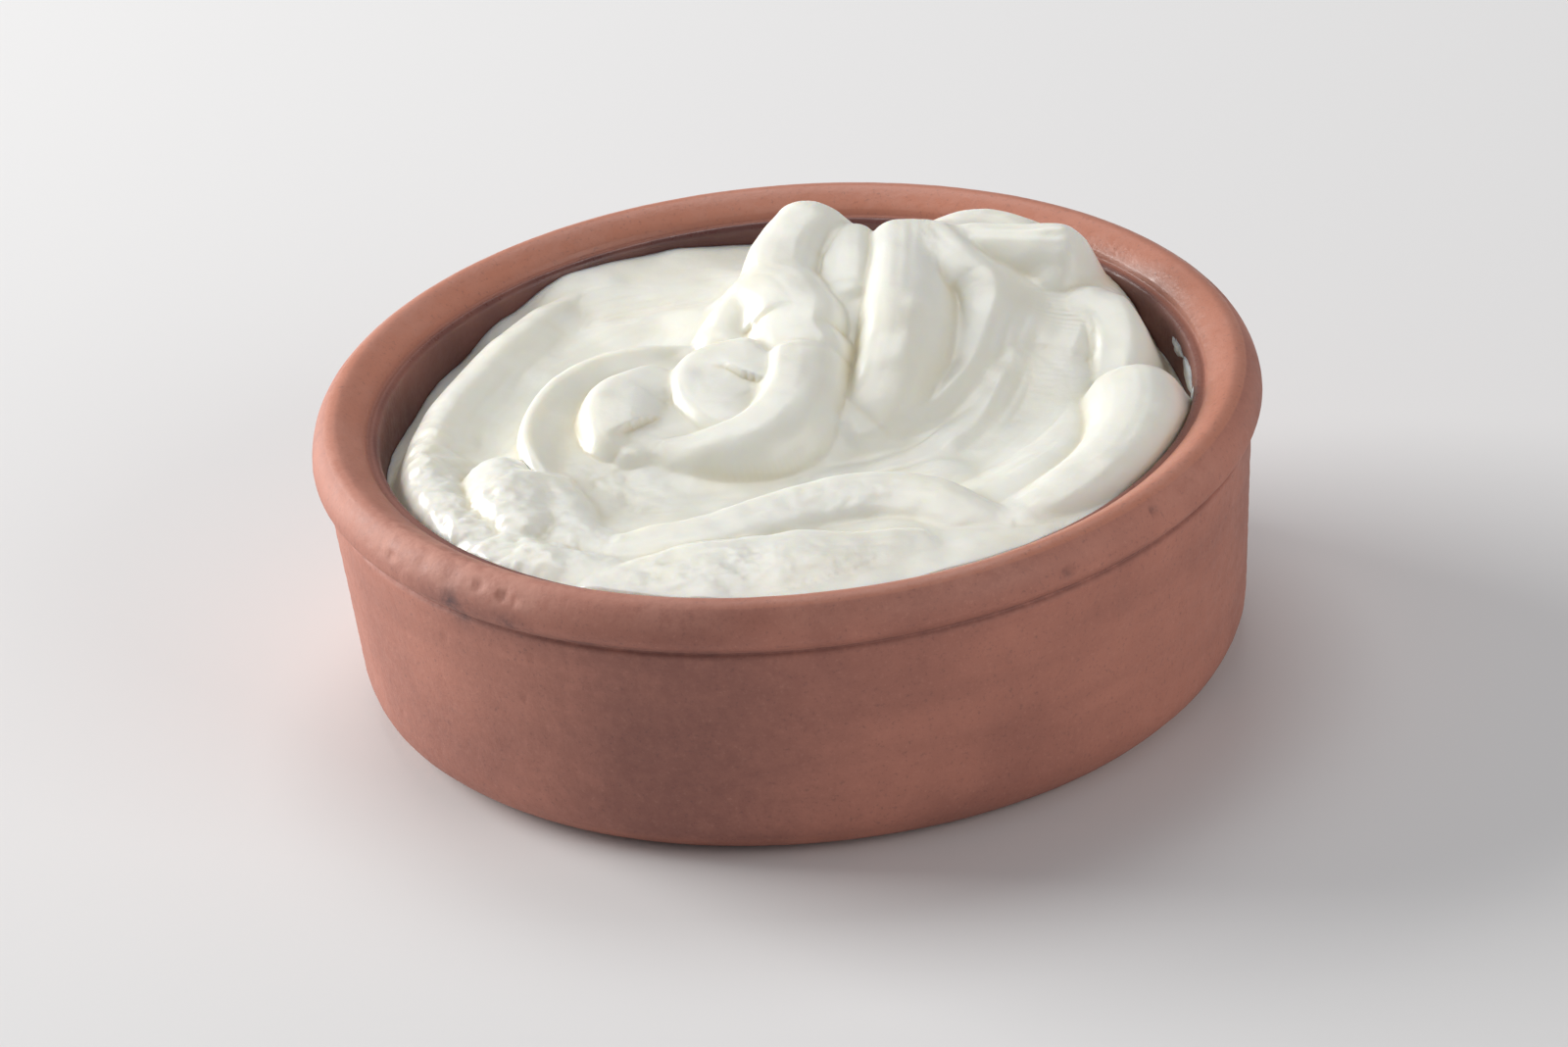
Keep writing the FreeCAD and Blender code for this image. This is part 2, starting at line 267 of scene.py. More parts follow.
STROKES: list[Stroke] = [
    # back left: a broad hollow swipe, then the channel running out of it
    trough([(-43, 22, -1), (-35, 35, -2), (-24, 41, -2), (-12, 41, -1)], (13, 4), (13, 4)),
    trough([(-20, 26, -1), (-28, 20, -1.8), (-37, 11, -2.2), (-44, -2, -2.5)], (8, 3), (8, 3)),
    # left border ridge
    ridge([(-29, 46, -2.5, 0.6), (-34, 38, -0.2, 0.8), (-39, 28, 0.8), (-44.5, 18, 0.8),
           (-49, 9, 0.3), (-51.5, 0, 0), (-52.5, -8, -0.3), (-51.5, -18, -0.5)],
          (12, 3.5, HOLLOW), (5, 5)),
    # front basin swept from the back right to the left
    trough([(40, 28, 3), (38, 12, -1), (33, -4, -3.5), (24, -15, -4.5), (8, -22, -4.5),
            (-8, -23, -4), (-22, -24, -3)], (14, 4), (15, 5)),
    # soft waves left in the basin
    ridge([(34, 8, 0), (28, -6, -2), (19, -16, -3.2), (6, -20, -4)], (8, 2, HOLLOW), (4, 2), 2),
    ridge([(22, -22, -3), (12, -26, -2.5), (2, -27, -3)], (5, 2), (5, 2), 2),
    # back heap, from its right corner to its left
    ridge([(30, 34, 8.8), (36, 32, 9.2), (42.5, 30.5, 8.8)], (5, 7), (6, 5)),
    ridge([(42.8, 30, 8.2), (42.2, 25, 4.4)], (3.5, 6), (6, 4), 3),
    ridge([(25.5, 34, 9.6), (28, 29, 8.8), (31.5, 24, 7.3), (32, 19, 5.5), (30, 13, 3.7),
           (27, 5, 1.2), (20, -4, -1), (12, -11, -3)], (11, 4, HOLLOW), (7, 4)),
    ridge([(18.4, 34, 10.2), (17.7, 25, 9.4), (16.6, 15.5, 8), (14.8, 6.5, 5.4),
           (12.4, -0.5, 2.6), (9, -4, 0.3)], (7.5, 4), (4.2, 5), 1.6),
    ridge([(12.5, 36, 9.3), (12.3, 29, 8.6), (11.3, 23.5, 7)], (3, 2), (5.5, 3), 1.5),
    ridge([(4.5, 40.4, 11.6), (0.8, 34.4, 10.5), (-1, 28.4, 9), (-4.6, 25, 7),
           (-7, 22.5, 5.2), (-9, 19, 3.4)], (7, 3.5), (4.5, 5.5), 1.2),
    ridge([(1.7, 26.7, 8.8), (3.8, 22, 8.4), (5, 17.5, 7.8), (4.2, 12.5, 6.8), (5.4, 8.6, 6),
           (5.2, 6, 4.4)], (4.5, 3), (8, 4), 0.8),
    # rosette and the thin lip coiled round it
    ridge([(-12.5, 17.5, 1.2, 0.5), (-19.5, 15.8, 2.5), (-26.5, 13.4, 2.9), (-32, 8.2, 2.8),
           (-35.5, 1, 2.4), (-36.8, -6, 1.9), (-36, -12.5, 1), (-34, -16.5, -0.5, 0.7)],
          (8, 3, HOLLOW), (2.5, 4), 0.6, 1.2),
    ridge([(-20, 8, 3.4), (-25, 4.5, 3.8), (-27, -2, 3.5), (-26.5, -8.5, 2.3), (-24, -11, 0.6)],
          (9, 2.5), (3.5, 3.5), 0.6),
    ridge([(-5.5, 10.5, 5.4), (-10.5, 9.8, 5), (-13.7, 6.5, 4.4), (-14, 1, 3.6),
           (-11.5, -5, 2.4), (-8.5, -8, 1.6)], (9, 1.5), (3, 3.5), 0.8),
    ridge([(-5, 7, 3.9), (-7.5, 2, 3.4), (-8.5, -4, 2.3)], (5, 2), (5, 2), 2.5),
    ridge([(1, 5.5, 6.6), (0, -1, 5.2), (-3, -6.5, 3.8), (-8, -9.5, 2.4, 0.8),
           (-15, -10.3, 0.9, 0.6), (-21, -9.5, -0.5, 0.5)], (8.5, 5.5), (7, 3, HOLLOW), 0.8, 0.8),
    # right border
    ridge([(47, 21, 3), (50, 17, 2.8), (51, 10, 1.5), (50, 3, -1)], (5, 8), (6, 4), 0.8),
    trough([(54, 25, -5), (58, 14, -8), (59, 5, -8), (59, -3, -6)], (3, 6), (4, 8)),
    ridge([(51.5, -7, 3.2), (51.5, -14, 3.2), (49.5, -22, 2.5), (45.5, -29, 2), (40, -35, 1.2),
           (33, -40, -0.2)], (7, 6.5), (8, 6), 0.8),
    # front ridges
    ridge([(-25, -36.5, -0.3, 0.7), (-13, -36, 0.8), (-4, -32.5, 1.3), (4, -30, 1.5),
           (12.5, -29.3, 1.5), (20.5, -32, 1.2), (26, -37, 0.5), (31, -41, -0.8, 0.6)],
          (3.5, 5), (8.5, 3), 0.6),
    ridge([(-29, -49, -1), (-20, -46, 0.2), (-10, -45, 0.8), (0, -44.5, 0.9), (9, -44.6, 0.3, 0.7),
           (17, -44, -1, 0.4)], (3.5, 2.5), (14, 4), 1.2),
    # lumps at the left front
    ridge([(-42.5, -14.5, 1.4), (-41.5, -21.5, 2.3), (-39.5, -29, 1.2)], (6.5, 4.5), (6, 4.5), 0.8),
    ridge([(-36.5, -19, 0.9), (-34, -25, 0.6)], (5, 4), (5, 3), 1.5),
    ridge([(-53, -8, -0.3), (-52, -16, 0.2), (-49, -26, 0.2), (-45, -34, -0.3)], (4.5, 3), (4, 4)),
    ridge([(-33, -27, 0, 0.8), (-32, -33, 0), (-27, -37, -0.8, 0.8)], (5, 3), (6, 3)),
    ridge([(-42, -36, 0), (-36, -41, 0), (-29, -45, -0.8)], (5, 3), (6, 4)),
]


@dataclass
class SwirlSurface:
    """The top of the yogurt as a height over the plan, in millimetres."""

    fill_level: float = 42.0
    wall_radius: float = 59.8
    centre_level: float = -1.0
    blend_start: float = 0.62
    crest_round: float = 0.08
    round_limit: float = 0.9
    side_sharpness: float = 0.6
    cover_height: float = 1.2
    lean_reach: float = 3.0
    mounds: Sequence[Mound] = (Mound(12, 26, 22, 17, 7.5), Mound(-16, 0, 17, 14, 2.5))
    wall_levels: Sequence[tuple[float, float]] = (
        (0, -7.0), (20, -7.0), (38, -6.5), (60, -3.0), (90, -3.5), (105, -2.5),
        (120, -1.5), (133, -4.0), (145, -7.0), (160, -8.5), (180, -7.0), (200, -4.5),
        (225, -2.0), (250, -1.0), (275, -1.0), (300, -1.2), (320, -1.5), (340, -4.0),
    )

    def wall_level(self, azimuth: np.ndarray) -> np.ndarray:
        """Height of the yogurt against the wall.

        Args:
            azimuth: angles round the bowl, in degrees from 0 to 360.

        Returns:
            Heights over the fill level.
        """
        angle = np.array([level[0] for level in self.wall_levels] + [360.0])
        value = np.array([level[1] for level in self.wall_levels] + [self.wall_levels[0][1]])
        index = np.clip(np.searchsorted(angle, azimuth, side="right") - 1, 0, len(angle) - 2)
        share = smooth_step((azimuth - angle[index]) / (angle[index + 1] - angle[index]))
        return value[index] + (value[index + 1] - value[index]) * share

    def flank_fall(self, flank: Flank, away: np.ndarray, width: np.ndarray) -> np.ndarray:
        """Drop below a crest along one flank.

        Args:
            flank: the side of the fold.
            away: distance from the crest.
            width: share of the full width there.

        Returns:
            The drop below the crest.
        """
        share = away / (flank.half_width * width)
        if flank.shape is FlankShape.HOLLOW:
            share = np.hypot(share, self.crest_round) - self.crest_round
            fall = np.where(share < 1.0, 1.0 - (1.0 - share) ** 2, 1.0 + 2.0 * (share - 1.0) ** 2)
        else:
            near = np.minimum(share, self.round_limit)
            upright = np.sqrt(1.0 - near * near)
            fall = 1.0 - upright + (share - near) * near / upright
        return flank.change * width * fall

    def evaluate(self, x: np.ndarray, y: np.ndarray) -> tuple[np.ndarray, np.ndarray, np.ndarray, np.ndarray]:
        """Heights and sideways lean of the surface.

        Args:
            x: places across the bowl.
            y: places along the bowl.

        Returns:
            Height over the fill level, lean in x, lean in y, and distance across the stroke on top, which
            is negative on its right.
        """
        reach = np.hypot(x, y) / self.wall_radius
        azimuth = np.degrees(np.arctan2(y, x)) % 360.0
        height = np.full(x.shape, self.centre_level)
        for mound in self.mounds:
            height += mound.over(x, y)
        near_wall = smooth_step((reach - self.blend_start) / (1.0 - self.blend_start))
        height += (self.wall_level(azimuth) - height) * near_wall
        lean_x, lean_y = np.zeros(x.shape), np.zeros(x.shape)
        grain = np.zeros(x.shape)
        for stroke in STROKES:
            near = self.nearest(stroke.track(), x, y)
            mix = np.clip(0.5 + self.side_sharpness * near.side, 0.0, 1.0)
            if stroke.kind is StrokeKind.RIDGE:
                right = self.flank_fall(stroke.right, near.away, near.width)
                left = self.flank_fall(stroke.left, near.away, near.width)
                own = near.crest - right - (left - right) * mix
                on_top = smooth_step((own - height) / self.cover_height + 0.5)
                height = smooth_max(height, own, stroke.blend)
            else:
                half = stroke.right.half_width + (stroke.left.half_width - stroke.right.half_width) * mix
                rise = stroke.right.change + (stroke.left.change - stroke.right.change) * mix
                own = near.crest + rise * (near.away / half) ** 2
                on_top = smooth_step((height - own) / self.cover_height + 0.5)
                height = -smooth_max(-height, -own, stroke.blend)
            grain = grain * (1.0 - on_top) + on_top * near.away * np.sign(near.side)
            if stroke.lean:
                weight = on_top * bell(near.away, self.lean_reach) * near.width
                lean_x -= stroke.lean * weight * near.normal_x
                lean_y -= stroke.lean * weight * near.normal_y
        return height, lean_x, lean_y, grain

    @staticmethod
    def nearest(track: np.ndarray, x: np.ndarray, y: np.ndarray) -> NearestPlace:
        """Finds the closest place on a track.

        Args:
            track: rows of x, y, height and width share.
            x: places across the bowl.
            y: places along the bowl.

        Returns:
            Distance, track height, side, width share, and the track's left normal in x and y.
        """
        best = np.full(x.shape, 1e9)
        crest, side, width = np.zeros(x.shape), np.zeros(x.shape), np.ones(x.shape)
        normal_x, normal_y = np.zeros(x.shape), np.zeros(x.shape)
        for start, end in zip(track[:-1], track[1:]):
            run = end[:2] - start[:2]
            length = math.hypot(run[0], run[1])
            share = ((x - start[0]) * run[0] + (y - start[1]) * run[1]) / length**2
            share = np.clip(share, 0.0, 1.0)
            away = np.hypot(x - start[0] - share * run[0], y - start[1] - share * run[1])
            across = (run[0] * (y - start[1]) - run[1] * (x - start[0])) / length
            closer = away < best
            best = np.where(closer, away, best)
            crest = np.where(closer, start[2] + share * (end[2] - start[2]), crest)
            width = np.where(closer, start[3] + share * (end[3] - start[3]), width)
            side = np.where(closer, across / np.maximum(away, 1e-6), side)
            normal_x = np.where(closer, -run[1] / length, normal_x)
            normal_y = np.where(closer, run[0] / length, normal_y)
        return NearestPlace(best, crest, side, width, normal_x, normal_y)


class Shader:
    """Small helper that lays out the nodes of one material.

    The mix node's sockets are given by number, because its names repeat for each kind of value.
    """

    MIX_SHARE = 0
    MIX_COLOURS = (6, 7)
    MIX_RESULT = 2

    def __init__(self, name: str) -> None:
        """Starts an empty material.

        Args:
            name: name of the material.
        """
        self.material = bpy.data.materials.new(name)
        self.material.use_nodes = True
        self.tree = self.material.node_tree
        self.tree.nodes.clear()
        self.surface = self.tree.nodes.new("ShaderNodeBsdfPrincipled")
        output = self.tree.nodes.new("ShaderNodeOutputMaterial")
        self.tree.links.new(self.surface.outputs["BSDF"], output.inputs["Surface"])
        self.place = self.tree.nodes.new("ShaderNodeTexCoord").outputs["Object"]

    def link(self, source: bpy.types.NodeSocket, target: bpy.types.NodeSocket) -> None:
        """Joins two sockets."""
        self.tree.links.new(source, target)

    def noise(
        self,
        scale: float,
        detail: float,
        rough: float,
        stretch: tuple[float, float, float] = (1.0, 1.0, 1.0),
    ) -> bpy.types.NodeSocket:
        """Adds cloudy noise.

        Args:
            scale: how many clouds stand in a metre.
            detail: layers of finer noise.
            rough: strength of the finer layers.
            stretch: scaling of x, y and z before the noise is read.

        Returns:
            The socket with the noise value.
        """
        mapping = self.tree.nodes.new("ShaderNodeMapping")
        mapping.inputs["Scale"].default_value = stretch
        self.link(self.place, mapping.inputs["Vector"])
        node = self.tree.nodes.new("ShaderNodeTexNoise")
        node.inputs["Scale"].default_value = scale
        node.inputs["Detail"].default_value = detail
        node.inputs["Roughness"].default_value = rough
        self.link(mapping.outputs["Vector"], node.inputs["Vector"])
        return node.outputs["Fac"]

    def spots(self, scale: float) -> bpy.types.NodeSocket:
        """Adds scattered cells.

        Args:
            scale: how many cells stand in a metre.

        Returns:
            The socket with the distance to the nearest cell.
        """
        node = self.tree.nodes.new("ShaderNodeTexVoronoi")
        node.inputs["Scale"].default_value = scale
        self.link(self.place, node.inputs["Vector"])
        return node.outputs["Distance"]

    def measure(self, name: str) -> bpy.types.NodeSocket:
        """Reads a value kept on the mesh.

        Args:
            name: name of the value.

        Returns:
            The socket with the value.
        """
        node = self.tree.nodes.new("ShaderNodeAttribute")
        node.attribute_name = name
        return node.outputs["Fac"]

    def fit(
        self,
        value: bpy.types.NodeSocket,
        low: float,
        high: float,
        to_low: float = 0.0,
        to_high: float = 1.0,
    ) -> bpy.types.NodeSocket:
        """Stretches a span of values onto another span.

        Args:
            value: socket with the value.
            low: start of the span read.
            high: end of the span read.
            to_low: result at the start.
            to_high: result at the end.

        Returns:
            The socket with the stretched value.
        """
        node = self.tree.nodes.new("ShaderNodeMapRange")
        node.interpolation_type = "SMOOTHSTEP"
        self.link(value, node.inputs["Value"])
        node.inputs["From Min"].default_value = low
        node.inputs["From Max"].default_value = high
        node.inputs["To Min"].default_value = to_low
        node.inputs["To Max"].default_value = to_high
        return node.outputs["Result"]

    def sums(
        self, operation: str, first: bpy.types.NodeSocket, second: bpy.types.NodeSocket | float
    ) -> bpy.types.NodeSocket:
        """Works out one sum on two values.

        Args:
            operation: name of the sum, such as ADD or MULTIPLY.
            first: first value.
            second: second value, a socket or a number.

        Returns:
            The socket with the result.
        """
        node = self.tree.nodes.new("ShaderNodeMath")
        node.operation = operation
        self.link(first, node.inputs[0])
        if isinstance(second, (int, float)):
            node.inputs[1].default_value = second
        else:
            self.link(second, node.inputs[1])
        return node.outputs["Value"]

    def tint(
        self,
        share: bpy.types.NodeSocket,
        first: bpy.types.NodeSocket | tuple,
        second: bpy.types.NodeSocket | tuple,
    ) -> bpy.types.NodeSocket:
        """Mixes two colours.

        Args:
            share: how much of the second colour shows.
            first: first colour, a socket or red, green and blue.
            second: second colour, a socket or red, green and blue.

        Returns:
            The socket with the mixed colour.
        """
        node = self.tree.nodes.new("ShaderNodeMix")
        node.data_type = "RGBA"
        self.link(share, node.inputs[self.MIX_SHARE])
        for colour, number in zip((first, second), self.MIX_COLOURS):
            if isinstance(colour, tuple):
                node.inputs[number].default_value = (*colour, 1.0)
            else:
                self.link(colour, node.inputs[number])
        return node.outputs[self.MIX_RESULT]

    def plain(self, **values: float | tuple[float, ...]) -> None:
        """Sets sockets that are the same all over.

        Args:
            values: socket names with underscores for spaces, and what each is set to.
        """
        for name, value in values.items():
            self.surface.inputs[name.replace("_", " ")].default_value = value

    def relief(self, heights: Sequence[tuple[bpy.types.NodeSocket, float, float]]) -> None:
        """Chains bump layers into the surface.

        Args:
            heights: for each layer its height socket, strength and depth in metres.
        """
        normal = None
        for height, strength, depth in heights:
            node = self.tree.nodes.new("ShaderNodeBump")
            node.inputs["Strength"].default_value = strength
            node.inputs["Distance"].default_value = depth
            self.link(height, node.inputs["Height"])
            if normal is not None:
                self.link(normal, node.inputs["Normal"])
            normal = node.outputs["Normal"]
        self.link(normal, self.surface.inputs["Normal"])


@dataclass(frozen=True)
class ClayFinish:
    """Unglazed red clay, fired and rubbed smooth by use."""

    pale: tuple[float, float, float] = (0.485, 0.200, 0.143)
    deep: tuple[float, float, float] = (0.345, 0.140, 0.104)
    # dark clay for damp and for painted shade on the inner wall
    damp_and_shade: tuple[float, float, float] = (0.120, 0.045, 0.040)
    dusty: tuple[float, float, float] = (0.560, 0.270, 0.205)
    # dark colour for specks, scuffs, and painted shade on the collar and the front wall
    smoke_and_shade: tuple[float, float, float] = (0.130, 0.068, 0.066)
    warm: tuple[float, float, float] = (0.560, 0.225, 0.145)
    cloud_scale: float = 28.0
    band_scale: float = 14.0
    band_flatness: float = 14.0
    grit_scale: float = 1500.0
    grit_share: float = 0.40
    wear_scale: float = 420.0
    polish_share: float = 0.80
    damp_gloss: float = 0.14
    polish_gloss: float = 0.27
    grain_scale: float = 900.0
    grain_depth: float = 0.00018
    pore_scale: float = 1100.0
    pore_depth: float = 0.0001

    def material(self) -> bpy.types.Material:
        """Builds the clay's nodes.

        Returns:
            The finished material.
        """
        shader = Shader("terracotta_clay")
        clouds = shader.fit(shader.noise(self.cloud_scale, 5.0, 0.6), 0.35, 0.68)
        colour = shader.tint(clouds, self.deep, self.pale)
        lines = shader.noise(self.band_scale, 3.0, 0.5, (1.0, 1.0, self.band_flatness))
        bands = shader.fit(lines, 0.42, 0.72, 0.0, 0.35)
        colour = shader.tint(bands, colour, self.deep)
        warmth = shader.sums("MULTIPLY", shader.measure("polish"), self.polish_share)
        colour = shader.tint(warmth, colour, self.warm)
        grit = shader.noise(self.grit_scale, 3.0, 0.7)
        colour = shader.tint(shader.fit(grit, 0.55, 0.78, 0.0, self.grit_share), colour, self.dusty)
        colour = shader.tint(shader.fit(grit, 0.45, 0.26, 0.0, self.grit_share), colour, self.smoke_and_shade)
        worn = shader.noise(self.wear_scale, 4.0, 0.7)
        rubbed_wear = shader.fit(worn, 0.36, 0.62, 0.25, 0.95)
        rubbed = shader.sums("MULTIPLY", shader.measure("rubbed"), rubbed_wear)
        colour = shader.tint(rubbed, colour, self.dusty)
        # scuffs, with painted shade on the collar and the front wall
        scuff_and_shade_breakup = shader.fit(worn, 0.30, 0.62, 0.35, 1.0)
        scuff_and_shade = shader.sums("MULTIPLY", shader.measure("scuff_and_shade"), scuff_and_shade_breakup)
        colour = shader.tint(scuff_and_shade, colour, self.smoke_and_shade)
        # damp clay and painted shade on the inner wall
        colour = shader.tint(shader.measure("damp_and_shade"), colour, self.damp_and_shade)
        shader.link(colour, shader.surface.inputs["Base Color"])
        dull = shader.fit(worn, 0.3, 0.7, 0.56, 0.72)
        gloss = shader.sums("MULTIPLY", shader.measure("damp_and_shade"), -self.damp_gloss)
        polish = shader.sums("MULTIPLY", shader.measure("polish"), -self.polish_gloss)
        rough = shader.sums("ADD", shader.sums("ADD", dull, gloss), polish)
        shader.link(rough, shader.surface.inputs["Roughness"])
        shader.plain(Specular_IOR_Level=0.44)
        grain = shader.noise(self.grain_scale, 4.0, 0.65)
        pores = shader.spots(self.pore_scale)
        shader.relief([(grain, 0.45, self.grain_depth), (pores, 0.10, self.pore_depth)])
        return shader.material


@dataclass(frozen=True)
class YogurtFinish:
    """Thick strained yogurt: milky, with a soft wet gloss."""

    milk: tuple[float, float, float] = (0.890, 0.892, 0.815)
    cream: tuple[float, float, float] = (0.810, 0.735, 0.510)
    cloud_scale: float = 60.0
    cloud_share: float = 0.16
    wet_scale: float = 320.0
    scatter_colour: tuple[float, float, float] = (1.0, 0.85, 0.60)
    scatter_depth: float = 0.0022
    curd_scale: float = 260.0
    curd_depth: float = 0.0004
    grain_scale: float = 1300.0
    grain_depth: float = 0.0001

    def material(self) -> bpy.types.Material:
        """Builds the yogurt's nodes.

        Returns:
            The finished material.
        """
        shader = Shader("strained_yogurt")
        clouds = shader.fit(shader.noise(self.cloud_scale, 3.0, 0.5), 0.40, 0.70, 0.0, self.cloud_share)
        colour = shader.tint(clouds, self.milk, self.cream)
        # painted shade: creases tinted towards darker cream
        colour = shader.tint(shader.measure("crease_shade"), colour, self.cream)
        shader.link(colour, shader.surface.inputs["Base Color"])
        rough = shader.fit(shader.noise(self.wet_scale, 4.0, 0.6), 0.35, 0.70, 0.30, 0.46)
        shader.link(rough, shader.surface.inputs["Roughness"])
        shader.plain(
            Subsurface_Weight=0.80,
            Subsurface_Radius=self.scatter_colour,
            Subsurface_Scale=self.scatter_depth,
            Specular_IOR_Level=0.42,
            Coat_Weight=0.32,
            Coat_Roughness=0.22,
        )
        curds = shader.noise(self.curd_scale, 3.0, 0.5)
        grain = shader.noise(self.grain_scale, 3.0, 0.6)
        shader.relief([(curds, 0.25, self.curd_depth), (grain, 0.22, self.grain_depth)])
        return shader.material


@dataclass(frozen=True)
class FloorFinish:
    """Plain pale surface under the bowl."""

    tone: tuple[float, float, float] = (0.78, 0.78, 0.78)

    def material(self) -> bpy.types.Material:
        """Builds the floor's nodes.

        Returns:
            The finished material.
        """
        shader = Shader("pale_floor")
        shader.plain(Base_Color=(*self.tone, 1.0), Roughness=0.75)
        return shader.material


def mesh_object(name: str, points: np.ndarray, faces: np.ndarray, smooth: bool = True) -> bpy.types.Object:
    """Makes a mesh piece from millimetre points.

    Args:
        name: name of the piece.
        points: rows of x, y, z in millimetres.
        faces: rows of corner numbers, each row with four; a repeated last corner makes a triangle.
        smooth: whether the shading is smooth.

    Returns:
        The new object, linked into the scene.
    """
    mesh = bpy.data.meshes.new(name)
    loops = [face[:3] if face[2] == face[3] else face for face in faces.tolist()]
    mesh.from_pydata((points * MM).tolist(), [], loops)
    mesh.polygons.foreach_set("use_smooth", [smooth] * len(mesh.polygons))
    mesh.update()
    piece = bpy.data.objects.new(name, mesh)
    bpy.context.scene.collection.objects.link(piece)
    return piece


def keep_measure(piece: bpy.types.Object, name: str, values: np.ndarray) -> None:
    """Keeps one value per point on a mesh.

    Args:
        piece: object whose mesh gets the values.
        name: name of the values.
        values: one number for each point.
    """
    layer = piece.data.attributes.new(name, "FLOAT", "POINT")
    layer.data.foreach_set("value", np.clip(values, 0.0, 1.0).astype(np.float32))


@dataclass(frozen=True)
class Nick:
    """A chip or pit in the clay, placed by its drop below the rim."""

    azimuth: float
    drop: float
    bite: float
    width: float


@dataclass(frozen=True)
class ScuffAndShade:
    """A dark mark on the clay, placed by its drop below the rim; most are rubbed scuffs, and the broad one on
    the collar is painted shade.
    """

    azimuth: float
    drop: float
    wide: float
    tall: float
    strength: float


@dataclass(frozen=True)
class Skin:
    """Points of the smooth turned surface, one entry for each."""

    place: np.ndarray
    turn: np.ndarray
    level: np.ndarray
    radius: np.ndarray

    def round_from(self, azimuth: float) -> np.ndarray:
        """Degrees round the bowl from an azimuth."""
        return np.degrees(self.turn) - azimuth


